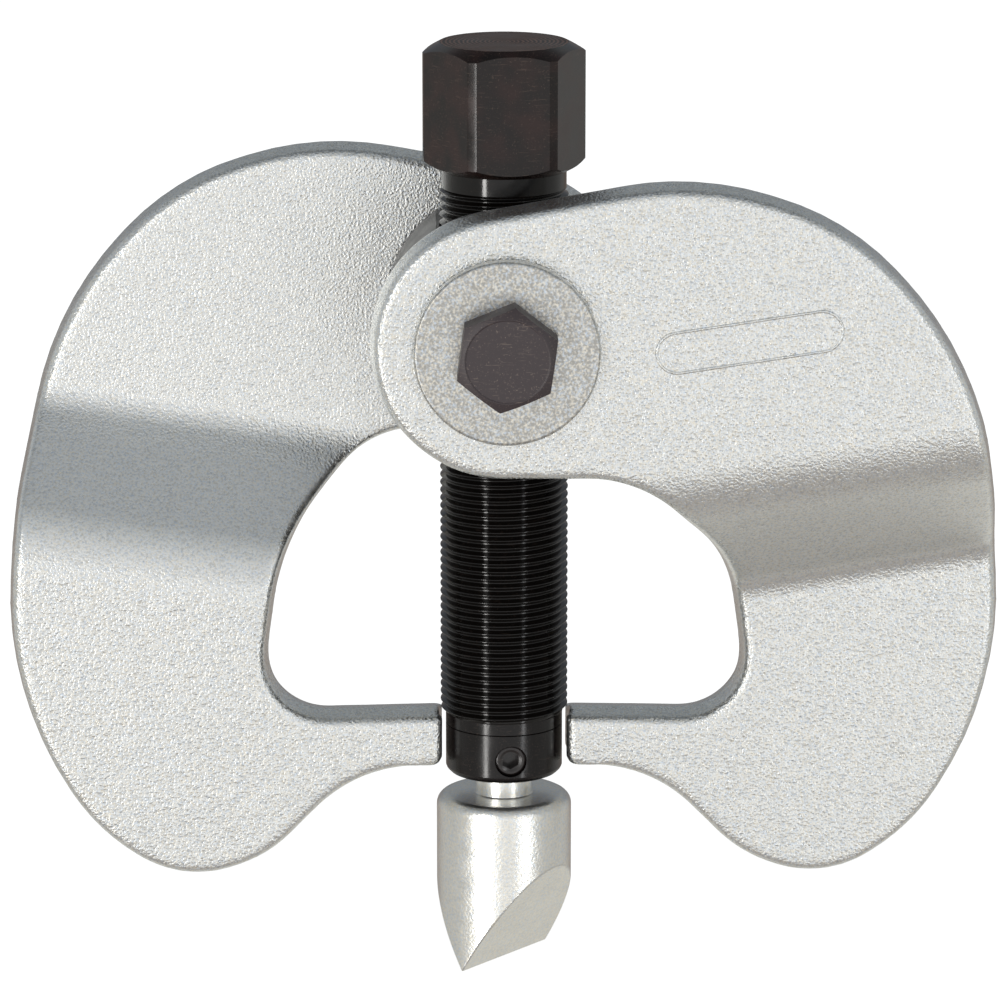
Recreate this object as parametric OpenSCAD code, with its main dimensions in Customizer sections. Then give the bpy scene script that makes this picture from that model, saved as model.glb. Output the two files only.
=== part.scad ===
// Ball joint separator: two joggled C-shaped jaws swing on the trunnions of one nut block.
// A fine-threaded spindle runs through the block and pushes a swivelling wedge between the tips.
// Z runs up the spindle, Y along the pivot axis, and the two cross at the origin.

/* [Spindle] */
// Major diameter of the spindle thread
thread_d = 24; // [20:0.5:28]
// Pitch of the spindle thread
thread_pitch = 1.5; // [1:0.25:3]
// Height of the thread's upper end above the pivot axis
thread_top = 25.3; // [24:0.5:34]
// Height of the plain end's upper edge above the upper edge of the closed tips
plain_rise = 0.2; // [0:0.1:2]
// Width across the flats of the hex head
head_af = 27; // [24:0.5:32]
// Height of the hex head
head_h = 23.7; // [16:0.1:30]
// Amount that the hex head's corners are turned down, on the radius
head_trim = 0.5; // [0.1:0.1:1]
// Distance of the flat discs on the hex head's ends inside its flats
head_inset = 1.6; // [0.5:0.1:3]
// Turn of the hex head's nearest corner from the front, towards -X
head_turn = 24; // [0:1:59]
// Length of the plain relief under the head
relief_l = 3.3; // [2:0.1:6]
// Depth of the relief below the thread's major diameter, on the radius
relief_depth = 0.4; // [0.2:0.1:1]
// Step from the thread down to the plain end that holds the wedge, on the radius
plain_step = 1; // [0.5:0.1:2]
// Length of the plain end
collar_l = 11.8; // [10:0.2:16]
// Chamfer at the foot of the plain end
collar_chamfer = 1.1; // [0.3:0.1:2]
// Distance of the marking groove below the thread's end
groove_drop = 2.2; // [1.5:0.1:3]
// Width and depth of the marking groove
groove_w = 0.4; // [0.2:0.1:0.8]

/* [Wedge] */
// Diameter of the wedge's body
wedge_d = 25.5; // [24:0.5:30]
// Length of the body from its shoulder to the chisel edge
wedge_l = 32.9; // [28:0.1:45]
// Angle between the two facets of the chisel edge
wedge_angle = 64; // [50:1:80]
// Turn of the chisel edge about the spindle, from the X axis
wedge_turn = 50; // [0:1:90]
// Rounding of the wedge's shoulder
shoulder_r = 2.2; // [0.5:0.1:4]
// Diameter of the shank that plugs into the spindle
shank_d = 10.7; // [8:0.1:12]
// Length of shank that shows between spindle and shoulder
neck_l = 4.4; // [3:0.1:8]
// Length of shank inside the spindle
shank_in = 16; // [13:0.5:22]
// Depth of the shank's retaining groove, on the radius
retain_depth = 1.3; // [0.8:0.1:2]
// Diameter of the thrust ball behind the shank
ball_d = 10; // [6:0.5:10.5]

/* [Set screw] */
// Thread diameter of the set screw that retains the wedge
screw_d = 6; // [4:0.5:8]
// Height of the set screw's axis above the foot of the plain end
screw_rise = 4.5; // [4:0.1:7]
// Depth that the set screw sits below the surface
screw_sink = 0.8; // [0.2:0.1:1.5]
// Width across the flats of its hex socket
screw_af = 3; // [2:0.5:4]
// Depth of its hex socket
socket_depth = 2.2; // [1:0.1:3]
// Diameter of its dog point
dog_d = 4; // [2:0.2:4.5]
// Turn of the set screw from the front, towards +X
screw_turn = 6; // [0:1:90]

/* [Jaws] */
// Distance of a jaw's outer side from the spindle axis
jaw_reach = 92.6; // [86:0.2:112]
// Highest point of a jaw above the pivot axis
jaw_crest = 29; // [26:0.5:36]
// Lowest point of a jaw below the pivot axis
jaw_belly = 106; // [100:0.5:128]
// Distance of the lowest point from the spindle axis
belly_x = 59; // [54:0.5:66]
// Thickness of the forging
jaw_t = 12; // [9:0.5:15]
// Diameter of the eye round the pivot
eye_d = 50; // [46:0.5:56]
// Gap between a closed tip's end and the spindle's plain end
tip_rest_gap = 0.5; // [0.3:0.1:1]
// Depth of the tip's upper edge below the pivot axis
tip_drop = 75.3; // [72:0.1:80]
// Height of the tip
tip_h = 10; // [7:0.5:14]
// Distance of the throat's outer wall from the spindle axis
throat_w = 45.2; // [38:0.2:50]
// Depth below the pivot axis of the joggle's upper bend
joggle_top = 34; // [30:0.5:38]
// Depth below the pivot axis of the joggle's lower bend
joggle_end = 56.5; // [52:0.5:62]
// How much higher the bends lie on the jaw's inner side than on its outer side
joggle_lift = 3.2; // [0:0.1:5]
// Slope of the bend lines, rising outwards
joggle_slope = 8.5; // [0:0.5:12]
// Radius of the joggle's bends on their hollow side
bend_in_r = 8; // [4:0.5:12]
// Radius of the joggle's bends on their bulging side
bend_out_r = 18; // [12:0.5:24]

/* [Pivot] */
// Diameter of the nut block between the jaws
block_d = 44; // [40:0.5:46]
// Height of the nut block over its two flats
block_h = 36; // [30:0.5:42]
// Diameter of the trunnions that the jaws swing on
trunnion_d = 20; // [16:0.5:24]
// Outer diameter of the washers
washer_d = 34; // [28:0.5:40]
// Thickness of the washers
washer_t = 3; // [2:0.1:4]
// Thread diameter of the pivot bolts
bolt_d = 10; // [8:0.5:12]
// Width across the flats of the bolt heads
bolt_af = 17; // [13:0.5:19]
// Height of the bolt heads
bolt_head_h = 6.4; // [4:0.1:8]
// Length of a bolt under its head
bolt_l = 14; // [10:0.5:15]
// Turn of the bolt heads about the pivot axis
bolt_turn = 8; // [0:1:59]

/* [Hidden] */
$fn = 64;
eps = 0.01;
big = 300;

run_fit = 0.05;        // radial clearance of what turns or slides in a bore
side_gap = 0.2;        // axial clearance beside each jaw
pass_gap = 0.7;        // clearance between the turning hex head and each jaw
tip_gap = 0.3;         // clearance between the hollowed tips and the thread
thread_gap = 0.02;     // radial clearance of a fixed thread in its hole
wedge_play = 0.1;      // end play of the ball between spindle and shank

arc_step = 6;          // degrees of arc that one facet of an outline spans
head_chamfer = 30;     // slope of the chamfers on hex heads, in degrees
bolt_chamfer_d = 15.6; // disc inside the chamfer of a bolt's head

head_d = head_af / cos(30) - 2 * head_trim;
head_face_d = head_af - 2 * head_inset;
thread_end = tip_drop - plain_rise;
thread_chamfer = 0.6134 * thread_pitch;   // the depth of a metric external thread
collar_d = thread_d - 2 * plain_step;
tip_x = collar_d / 2 + tip_rest_gap;

jaw_in = head_d / 2 + pass_gap;
jaw_out = jaw_in + jaw_t;
jaw_mid = jaw_t / 2;
trunnion_end = jaw_out + side_gap;
tip_low = tip_drop + tip_h;
eye_r = eye_d / 2;

head_z = thread_top + relief_l;
collar_z = -thread_end - collar_l;
screw_z = collar_z + screw_rise;
shoulder_z = collar_z - neck_l;
edge_z = shoulder_z - wedge_l;
shank_top = collar_z + shank_in;
ball_z = shank_top + wedge_play / 2 + ball_d / 2;
bore_top = ball_z + ball_d / 2 + wedge_play / 2;
retain_w = dog_d + 1;
bolt_hole_end = trunnion_end + washer_t - bolt_l - 1;

// The angle between the two edges that meet at corner b.
function corner_angle(a, b, c) =
    let (u = a - b, w = c - b) acos(u * w / norm(u) / norm(w));

// A corner is [x, y, radius]. Its arc takes up this much of each edge beside it.
function cut_back(p, i) =
    let (n = len(p), a = p[(i + n - 1) % n], b = p[i], c = p[(i + 1) % n])
    b[2] / tan(corner_angle(flat(a), flat(b), flat(c)) / 2);

function flat(p) = [p[0], p[1]];

// The share of its radius that a corner keeps where two arcs need more than their edge.
function edge_share(p, i, j) =
    min(1, norm(flat(p[i]) - flat(p[j])) / (cut_back(p, i) + cut_back(p, j) + eps));

function corner_arc(p, i) =
    let (n = len(p), h = (i + n - 1) % n, j = (i + 1) % n,
         b = flat(p[i]), u = flat(p[h]) - b, w = flat(p[j]) - b, un = u / norm(u), wn = w / norm(w),
         r = p[i][2] * min(edge_share(p, i, h), edge_share(p, i, j)),
         turn = 180 - corner_angle(flat(p[h]), b, flat(p[j])),
         centre = b + (un + wn) / norm(un + wn) * r / cos(turn / 2),
         start = b + un * r * tan(turn / 2) - centre,
         way = sign(un[0] * wn[1] - un[1] * wn[0]),
         steps = max(1, ceil(turn / arc_step)))
    [for (k = [0 : steps]) let (q = -way * turn * k / steps)
        centre + [start[0] * cos(q) - start[1] * sin(q), start[0] * sin(q) + start[1] * cos(q)]];

// The points of an outline whose corners are rounded by their own radii.
function rounded(p) =
    [for (i = [0 : len(p) - 1]) each (p[i][2] > 0 ? corner_arc(p, i) : [flat(p[i])])];

// Outline of the right-hand jaw in X and Z. It runs from the bottom of the eye up round its inner side.
eye_rise = 10;         // slope of the back where it leaves the eye, in degrees
eye_steps = 32;        // facets round the eye
eye_outline = [for (k = [0 : eye_steps]) let (a = 270 - k * (180 - eye_rise) / eye_steps)
    [eye_r * cos(a), eye_r * sin(a), 0]];
jaw_outline = concat(eye_outline, [
    [34.5, jaw_crest + 1.6, 57],
    [jaw_reach - 30.6, jaw_crest - 6.7, 50],
    [jaw_reach - 7.6, -1, 66],
    [jaw_reach - 0.9, -34, 62],
    [jaw_reach + 1.8, -71, 68],
    [belly_x + 18.5, -jaw_belly + 8, 39],
    [belly_x + 1.7, -jaw_belly - 2.6, 21],
    [belly_x - 14.7, -jaw_belly + 3, 26],
    [tip_x + 15.4, -tip_low + 1.3, 26],
    [tip_x, -tip_low, 0],
    [tip_x, -tip_drop, 0],
    [throat_w, -tip_drop - 0.6, 11],
    [throat_w, -tip_drop + 12.4, 23],
    [throat_w - 2.6, -43.3, 31],
    [throat_w - 19.9, -eye_r, 22]
]);

// Section of the jaw across its bend lines: depth in Y against height.
joggle_section = [
    [-jaw_out, jaw_belly, 0],
    [-jaw_out, -joggle_top * cos(joggle_slope), bend_out_r],
    [-jaw_mid, -joggle_end * cos(joggle_slope), bend_in_r],
    [-jaw_mid, -2 * jaw_belly, 0],
    [jaw_mid, -2 * jaw_belly, 0],
    [jaw_mid, joggle_lift - joggle_end * cos(joggle_slope), bend_out_r],
    [-jaw_in, joggle_lift - joggle_top * cos(joggle_slope), bend_in_r],
    [-jaw_in, jaw_belly, 0]
];

// A cylinder along Y from one depth to another.
module rod_y(d, from, to) {
    translate([0, from, 0]) rotate([-90, 0, 0]) cylinder(d = d, h = to - from);
}

module joggled_plate() {
    rotate([0, -joggle_slope, 0]) rotate([90, 0, 90])
        linear_extrude(big, center = true) polygon(rounded(joggle_section));
}

module jaw() {
    difference() {
        intersection() {
            joggled_plate();
            rotate([90, 0, 0]) linear_extrude(big, center = true) polygon(rounded(jaw_outline));
        }
        rod_y(trunnion_d + 2 * run_fit, -jaw_out - 1, -jaw_in + 1);
        translate([0, 0, -tip_low - 1]) cylinder(d = thread_d + 2 * tip_gap, h = tip_h + 2);
    }
}

module front_jaw() {
    color("silver") jaw();
}

module rear_jaw() {
    color("silver") rotate([0, 0, 180]) jaw();
}

module nut_block() {
    half = jaw_in - side_gap;
    color("dimgray") difference() {
        union() {
            intersection() {
                rod_y(block_d, -half, half);
                cube([block_d + 2, 2 * half + 2, block_h], center = true);
            }
            rod_y(trunnion_d, -trunnion_end, trunnion_end);
        }
        cylinder(d = thread_d + 2 * run_fit, h = block_h + 2, center = true);
        for (side = [0, 180]) rotate([0, 0, side])
            rod_y(bolt_d + 2 * thread_gap, -trunnion_end - 1, -bolt_hole_end);
    }
}

// The washer and bolt sit on the front trunnion; the rear ones are turned half round.
module washer() {
    difference() {
        rod_y(washer_d, -trunnion_end - washer_t, -trunnion_end);
        rod_y(bolt_d + 0.5, -trunnion_end - washer_t - 1, -trunnion_end + 1);
    }
}

module front_washer() {
    color("gainsboro") washer();
}

module rear_washer() {
    color("gainsboro") rotate([0, 0, 180]) washer();
}

// A dome with a flat disc of diameter d at Z = 0. It meets the flats at the head chamfer's slope.
module chamfer_dome(d, af) {
    r = af / 2 / sin(head_chamfer);
    translate([0, 0, -sqrt(r * r - d * d / 4)]) sphere(r = r);
}

module bolt() {
    seat = -trunnion_end - washer_t;
    rod_y(bolt_d, seat - eps, seat + bolt_l);
    translate([0, seat, 0]) rotate([90, 0, 0]) intersection() {
        rotate(90 - bolt_turn) cylinder(d = bolt_af / cos(30), h = bolt_head_h, $fn = 6);
        translate([0, 0, bolt_head_h]) chamfer_dome(bolt_chamfer_d, bolt_af);
    }
}

module front_bolt() {
    color("#33302d") bolt();
}

module rear_bolt() {
    color("#33302d") rotate([0, 0, 180]) bolt();
}

module hex_head() {
    intersection() {
        rotate(-90 - head_turn) cylinder(d = head_af / cos(30), h = head_h, $fn = 6);
        cylinder(d = head_d, h = head_h);
        mirror([0, 0, 1]) chamfer_dome(head_face_d, head_af);
        translate([0, 0, head_h]) chamfer_dome(head_face_d, head_af);
    }
}

// Half profile of the spindle below its head, in radius and height.
spindle_profile = [
    [0, head_z + 1],
    [thread_d / 2 - relief_depth, head_z + 1],
    [thread_d / 2 - relief_depth, thread_top + relief_depth],
    [thread_d / 2, thread_top],
    [thread_d / 2, -thread_end + thread_chamfer],
    [thread_d / 2 - thread_chamfer, -thread_end],
    [collar_d / 2, -thread_end],
    [collar_d / 2, -thread_end - groove_drop],
    [collar_d / 2 - groove_w, -thread_end - groove_drop - groove_w / 2],
    [collar_d / 2, -thread_end - groove_drop - groove_w],
    [collar_d / 2, collar_z + collar_chamfer],
    [collar_d / 2 - collar_chamfer, collar_z],
    [0, collar_z]
];

// Places its child along the set screw's axis, with its Z pointing out of the spindle.
module on_screw_axis() {
    translate([0, 0, screw_z]) rotate([90, 0, screw_turn]) children();
}

module spindle() {
    color("#26221f") difference() {
        union() {
            rotate_extrude() polygon(spindle_profile);
            translate([0, 0, head_z]) hex_head();
        }
        translate([0, 0, collar_z - 1]) cylinder(d = shank_d + 2 * run_fit, h = bore_top - collar_z + 1);
        on_screw_axis() cylinder(d = screw_d + 2 * thread_gap, h = collar_d);
    }
}

module set_screw() {
    face = collar_d / 2 - screw_sink;
    body = shank_d / 2 + 2 * run_fit;
    dog_end = shank_d / 2 - retain_depth + 0.4;
    color("#1c1a19") on_screw_axis() difference() {
        union() {
            translate([0, 0, body]) cylinder(d = screw_d, h = face - body);
            translate([0, 0, dog_end]) cylinder(d = dog_d, h = face - dog_end);
        }
        translate([0, 0, face - socket_depth])
            cylinder(d = screw_af / cos(30), h = socket_depth + 1, $fn = 6);
    }
}

module thrust_ball() {
    color("lightsteelblue") translate([0, 0, ball_z]) sphere(d = ball_d);
}

// Half profile of the wedge and its shank before the facets are cut.
wedge_profile = rounded([
    [0, shank_top, 0],
    [shank_d / 2 - 0.5, shank_top, 0],
    [shank_d / 2, shank_top - 0.5, 0],
    [shank_d / 2, screw_z + retain_w / 2, 0],
    [shank_d / 2 - retain_depth, screw_z + retain_w / 2, 0],
    [shank_d / 2 - retain_depth, screw_z - retain_w / 2, 0],
    [shank_d / 2, screw_z - retain_w / 2, 0],
    [shank_d / 2, shoulder_z, 0],
    [wedge_d / 2, shoulder_z, shoulder_r],
    [wedge_d / 2, edge_z - 1, 0],
    [0, edge_z - 1, 0]
]);

module wedge() {
    slope_h = shank_top - edge_z + wedge_d;
    color("lightgray") intersection() {
        rotate_extrude() polygon(wedge_profile);
        rotate([0, 0, wedge_turn]) rotate([90, 0, 90]) linear_extrude(wedge_d + 2, center = true)
            polygon([[0, edge_z], [slope_h * tan(wedge_angle / 2), edge_z + slope_h],
                     [-slope_h * tan(wedge_angle / 2), edge_z + slope_h]]);
    }
}

nut_block();
front_washer();
rear_washer();
front_bolt();
rear_bolt();
front_jaw();
rear_jaw();
spindle();
set_screw();
thrust_ball();
wedge();
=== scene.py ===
"""A ball joint separator: two joggled jaws, a nut block, a fine-threaded spindle and its wedge."""

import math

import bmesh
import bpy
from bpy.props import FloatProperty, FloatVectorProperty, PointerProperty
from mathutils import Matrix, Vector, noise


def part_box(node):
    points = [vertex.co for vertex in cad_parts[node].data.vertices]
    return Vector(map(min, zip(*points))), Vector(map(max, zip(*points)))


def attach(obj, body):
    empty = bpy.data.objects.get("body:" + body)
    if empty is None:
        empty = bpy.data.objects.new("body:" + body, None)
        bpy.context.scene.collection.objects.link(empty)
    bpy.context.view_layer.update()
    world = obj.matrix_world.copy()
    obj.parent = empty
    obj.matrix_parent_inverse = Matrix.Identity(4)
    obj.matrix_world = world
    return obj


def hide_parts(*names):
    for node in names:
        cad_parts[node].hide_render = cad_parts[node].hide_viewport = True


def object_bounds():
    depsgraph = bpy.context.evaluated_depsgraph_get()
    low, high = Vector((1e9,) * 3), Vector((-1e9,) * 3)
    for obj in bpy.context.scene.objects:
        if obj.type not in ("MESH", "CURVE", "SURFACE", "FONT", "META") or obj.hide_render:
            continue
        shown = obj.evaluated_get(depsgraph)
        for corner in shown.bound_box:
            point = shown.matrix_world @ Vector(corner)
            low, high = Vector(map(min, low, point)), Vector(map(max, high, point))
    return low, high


bl_info = {
    "name": "Ball Joint Separator",
    "version": (1, 0, 0),
    "blender": (4, 5, 0),
    "location": "3D View > Sidebar > Separator",
    "description": "Models a ball joint separator with its jaws, nut block, spindle and wedge",
    "category": "Add Mesh",
}

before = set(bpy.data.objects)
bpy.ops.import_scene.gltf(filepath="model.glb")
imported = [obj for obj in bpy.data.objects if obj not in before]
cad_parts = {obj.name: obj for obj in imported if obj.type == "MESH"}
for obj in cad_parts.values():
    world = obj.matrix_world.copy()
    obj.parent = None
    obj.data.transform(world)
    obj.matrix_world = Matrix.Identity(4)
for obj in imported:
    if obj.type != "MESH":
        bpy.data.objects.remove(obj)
CAD_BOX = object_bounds()

MM = 0.001
WELD = 1e-7             # points closer than this become one
JOIN_DEPTH = 2 * MM     # how far the spindle's parts reach into its thread before they are joined
JOIN_SINK = 0.5 * MM    # how far they stay under the surface there
THREAD_DEPTH = 0.6134   # depth of a metric external thread, as a share of its pitch
JAW_LOW, JAW_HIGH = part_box("front_jaw")
SPINDLE_LOW, SPINDLE_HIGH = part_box("spindle")
WEDGE_LOW, WEDGE_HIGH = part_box("wedge")
BLOCK_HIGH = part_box("nut_block")[1]
WASHER_LOW, WASHER_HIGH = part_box("front_washer")
BOLT_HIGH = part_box("front_bolt")[1]


# ---------------------------------------------------------------- sizes and colours

def length(name, default, description):
    """A size property in metres."""
    return FloatProperty(name=name, default=default, description=description, unit="LENGTH",
                         precision=5, min=0)


def angle(name, degrees, description):
    """An angle property."""
    return FloatProperty(name=name, default=math.radians(degrees), description=description, unit="ROTATION")


def linear(hex_colour):
    """An sRGB hex colour as linear red, green, blue and alpha."""
    levels = [int(hex_colour[i:i + 2], 16) / 255 for i in (1, 3, 5)]
    return [v / 12.92 if v <= 0.04045 else ((v + 0.055) / 1.055) ** 2.4 for v in levels] + [1]


def colour(name, hex_colour, description):
    """A colour property from an sRGB hex value."""
    return FloatVectorProperty(name=name, default=linear(hex_colour), description=description,
                               subtype="COLOR", size=4, min=0, max=1)


class JawSizes(bpy.types.PropertyGroup):
    """Sizes of one jaw forging."""
    reach: length("Reach", 92.6 * MM, "Distance of the outer side from the spindle axis")
    crest: length("Crest", 30 * MM, "Highest point above the pivot axis")
    belly: length("Belly", 106 * MM, "Lowest point below the pivot axis")
    belly_x: length("Belly distance", 59 * MM, "Distance of the lowest point from the spindle axis")
    thickness: length("Thickness", 2 * JAW_HIGH.y, "Thickness of the forging")
    eye_r: length("Eye radius", -JAW_LOW.x, "Radius of the eye round the pivot")
    bore_r: length("Bore radius", 10.05 * MM, "Radius of the bore that turns on the trunnion")
    tip_x: length("Tip distance", 10.9 * MM, "Distance of the closed tip's end from the spindle axis")
    tip_drop: length("Tip drop", 74.3 * MM, "Depth of the tip's upper edge below the pivot axis")
    tip_h: length("Tip height", 11.7 * MM, "Height of the tip")
    tip_hollow_r: length("Tip hollow", 12.3 * MM, "Radius of the hollow that clears the spindle")
    throat_w: length("Throat width", 44.3 * MM, "Distance of the throat's outer wall from the spindle axis")
    joggle_top: length("Joggle top", 34 * MM, "Depth below the pivot axis of the joggle's upper bend")
    joggle_end: length("Joggle end", 56.5 * MM, "Depth below the pivot axis of the joggle's lower bend")
    joggle_lift: length("Joggle lift", 3.2 * MM, "Rise of the bends from the outer side to the inner side")
    joggle_slope: angle("Joggle slope", 8.5, "Slope of the bend lines, rising outwards")
    bend_in_r: length("Hollow bend", 8 * MM, "Radius of the joggle's bends on their hollow side")
    bend_out_r: length("Bulging bend", 18 * MM, "Radius of the joggle's bends on their bulging side")
    draft: length("Draft", 1.0 * MM, "Narrowing of each half of the forging towards its face")
    edge_r: length("Edge radius", 1.3 * MM, "Rounding of the forging's edges")
    grid: length("Grid", 0.65 * MM, "Grid on which the forging's skin is built")
    swell: length("Unevenness", 0.11 * MM, "Depth of the forging's unevenness")
    panel_l: length("Panel length", 34.8 * MM, "Length of the blank oval panel on the outer face")
    panel_h: length("Panel height", 8.2 * MM, "Height of the blank oval panel")
    panel_x: length("Panel distance", 44.1 * MM, "Distance of the panel's middle from the spindle axis")
    panel_z: length("Panel rise", 1.45 * MM, "Height of the panel's middle above the pivot axis")
    panel_rim: length("Panel rim", 0.75 * MM, "Width of the raised rim round the panel")


class SpindleSizes(bpy.types.PropertyGroup):
    """Sizes of the spindle and its set screw."""
    thread_r: length("Thread radius", 12 * MM, "Major radius of the thread")
    pitch: length("Pitch", 1.5 * MM, "Pitch of the thread")
    thread_top: length("Thread top", 25.3 * MM, "Height of the thread's upper end above the pivot axis")
    thread_end: length("Thread end", 75.1 * MM, "Depth of the thread's lower end below the pivot axis")
    relief_r: length("Relief radius", 11.6 * MM, "Radius of the plain relief under the head")
    relief_l: length("Relief length", 3.3 * MM, "Length of the relief")
    head_af: length("Head across flats", 27 * MM, "Width across the flats of the hex head")
    head_r: length("Head corner radius", 15.09 * MM, "Radius of the head's turned corners")
    head_face_r: length("Head face radius", 11.9 * MM, "Radius of the flat discs on the head's ends")
    head_turn: angle("Head turn", 24, "Turn of the nearest corner from the front, towards -X")
    collar_r: length("Plain end radius", 11 * MM, "Radius of the plain end that holds the wedge")
    collar_chamfer: length("Plain end chamfer", 1.1 * MM, "Chamfer at the foot of the plain end")
    groove_drop: length("Groove drop", 2.2 * MM, "Distance of the marking groove below the thread")
    groove_w: length("Groove width", 0.22 * MM, "Width and depth of the marking groove")
    bore_r: length("Bore radius", 5.4 * MM, "Radius of the bore for the wedge's shank")
    bore_top: length("Bore top", 60.8 * MM, "Depth of the bore's end below the pivot axis")
    screw_r: length("Screw radius", 3 * MM, "Radius of the set screw")
    screw_rise: length("Screw rise", 4.5 * MM, "Height of the set screw above the foot of the plain end")
    screw_sink: length("Screw sink", 0.8 * MM, "Depth of the set screw below the surface")
    screw_turn: angle("Screw turn", 6, "Turn of the set screw from the front, towards +X")
    socket_af: length("Socket across flats", 3 * MM, "Width across the flats of the set screw's socket")


class WedgeSizes(bpy.types.PropertyGroup):
    """Sizes of the wedge and its shank."""
    body_r: length("Body radius", WEDGE_HIGH.x, "Radius of the wedge's body")
    edge_drop: length("Edge drop", -WEDGE_LOW.z, "Depth of the chisel edge below the pivot axis")
    shank_top: length("Shank top", -WEDGE_HIGH.z, "Depth of the shank's end below the pivot axis")
    shoulder: length("Shoulder", 91.3 * MM, "Depth of the shoulder below the pivot axis")
    shoulder_r: length("Shoulder radius", 2.2 * MM, "Rounding of the shoulder")
    shank_r: length("Shank radius", 5.35 * MM, "Radius of the shank")
    retain_r: length("Groove radius", 4.05 * MM, "Radius at the bottom of the shank's retaining groove")
    retain_w: length("Groove width", 5 * MM, "Width of the shank's retaining groove")
    wedge_angle: angle("Wedge angle", 64, "Angle between the two facets of the chisel edge")
    wedge_turn: angle("Wedge turn", 50, "Turn of the chisel edge from the X axis")


class PivotSizes(bpy.types.PropertyGroup):
    """Sizes of the nut block, the washers and the pivot bolts."""
    block_r: length("Block radius", BLOCK_HIGH.x, "Radius of the nut block between the jaws")
    block_half: length("Block half width", 15.59 * MM, "Half width of the nut block along the pivot axis")
    block_flat: length("Block flat", BLOCK_HIGH.z, "Height of the nut block's flats")
    trunnion_r: length("Trunnion radius", 10 * MM, "Radius of the trunnions")
    trunnion_end: length("Trunnion end", BLOCK_HIGH.y, "Distance of a trunnion's end from the spindle axis")
    washer_r: length("Washer radius", WASHER_HIGH.x, "Outer radius of the washers")
    washer_t: length("Washer thickness", WASHER_HIGH.y - WASHER_LOW.y, "Thickness of the washers")
    bolt_r: length("Bolt radius", 5 * MM, "Radius of the pivot bolts")
    bolt_af: length("Bolt across flats", 17 * MM, "Width across the flats of the bolt heads")
    bolt_head_h: length("Bolt head height", 6.4 * MM, "Height of the bolt heads")
    bolt_end: length("Bolt end", -BOLT_HIGH.y, "Distance of a bolt's end from the spindle axis")
    bolt_face_r: length("Bolt face radius", 7.8 * MM, "Radius of the flat disc on a bolt's head")
    bolt_turn: angle("Bolt turn", 8, "Turn of the bolt heads about the pivot axis")


class Finishes(bpy.types.PropertyGroup):
    """Colours of the finishes."""
    zinc: colour("Zinc", "#F2F3F1", "Bright zinc on the shot-blasted jaws")
    zinc_cool: colour("Cool zinc", "#D9E3EE", "Bluish passivation of the zinc")
    zinc_warm: colour("Warm zinc", "#F3EDDF", "Yellowish passivation of the zinc")
    washer: colour("Washer", "#B4B2AD", "Tumbled zinc on the washers")
    wedge: colour("Wedge", "#E6E5E0", "Bright zinc on the turned wedge")
    oxide: colour("Black oxide", "#15100F", "Black oxide on the turned steel")
    # Also used on the plain relief under the head, where its near-black is painted shade.
    oxide_oiled_and_painted_shade: colour("Oiled oxide", "#070504", "Black oxide under a film of oil, on the thread")
    oxide_plain_with_painted_shade: colour("Plain end oxide", "#0C0909", "Deeper black oxide on the spindle's plain end")
    # Darker than the head's oxide: the extra darkness is painted shade for the dim surroundings the plain end
    # reflects.
    oxide_brown: colour("Brown oxide", "#241614", "Browner clouds in the black oxide")
    oxide_worn: colour("Worn oxide", "#57483F", "Thin brownish oxide on edges and scratches")
    oxide_ridge: colour("Oxide on ridges", "#8C6E5F", "Brown oxide worn thin on the turning marks")
    phosphate: colour("Phosphate", "#2A2023", "Manganese phosphate on the bolts")
    phosphate_worn: colour("Worn phosphate", "#8A7A6E", "Rubbed specks of the phosphate")
    bearing: colour("Bearing steel", "#C9CDD2", "Ground steel of the thrust ball")
    floor: colour("Floor", "#F4F4F2", "Pale studio floor")


class Studio(bpy.types.PropertyGroup):
    """The camera, the lights and the floor."""
    camera_distance: length("Camera distance", 1.05, "Distance of the camera from its target")
    camera_rise: angle("Camera rise", 13.6, "Angle of the camera above the horizon")
    camera_turn: angle("Camera turn", 1.0, "Turn of the camera from the front, towards -X")
    camera_lens: FloatProperty(name="Lens", default=201.6, description="Focal length", unit="CAMERA")
    target_x: FloatProperty(name="Target X", default=-0.75 * MM, description="Target beside the spindle axis")
    target_z: FloatProperty(name="Target Z", default=-34.456 * MM, description="Height of the target")
    floor_half: length("Floor", 12.0, "Half the floor's width")


# ---------------------------------------------------------------- making meshes

def finished(bm, name, *materials, sharp=30):
    """A mesh object from a bmesh, with its place in its mesh and edges above the sharp angle kept crisp."""
    mesh = bpy.data.meshes.new(name)
    bm.to_mesh(mesh)
    bm.free()
    for material in materials:
        mesh.materials.append(material)
    mesh.shade_smooth()
    if sharp:
        mesh.set_sharp_from_angle(angle=math.radians(sharp))
    piece = bpy.data.objects.new(name, mesh)
    bpy.context.scene.collection.objects.link(piece)
    return piece


def lathe(profile, steps=96, ring=False):
    """A closed solid of revolution about Z from a half profile of (radius, height)."""
    bm = bmesh.new()
    points = [bm.verts.new((radius, 0, height)) for radius, height in profile]
    follow = points[1:] + points[:1] if ring else points[1:]
    edges = [bm.edges.new(pair) for pair in zip(points, follow)]
    bmesh.ops.spin(bm, geom=points + edges, cent=(0, 0, 0), axis=(0, 0, 1), angle=math.tau,
                   steps=steps, use_merge=True)
    bmesh.ops.remove_doubles(bm, verts=bm.verts, dist=WELD)
    bmesh.ops.recalc_face_normals(bm, faces=bm.faces)
    return bm


def trim(bm, point, normal):
    """Cuts away what lies beyond a plane and closes the cut."""
    geometry = bm.verts[:] + bm.edges[:] + bm.faces[:]
    cut = bmesh.ops.bisect_plane(bm, geom=geometry, dist=WELD, plane_co=point, plane_no=normal,
                                 clear_outer=True)
    rim = [e for e in cut["geom_cut"] if isinstance(e, bmesh.types.BMEdge)]
    bmesh.ops.holes_fill(bm, edges=rim)


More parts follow.
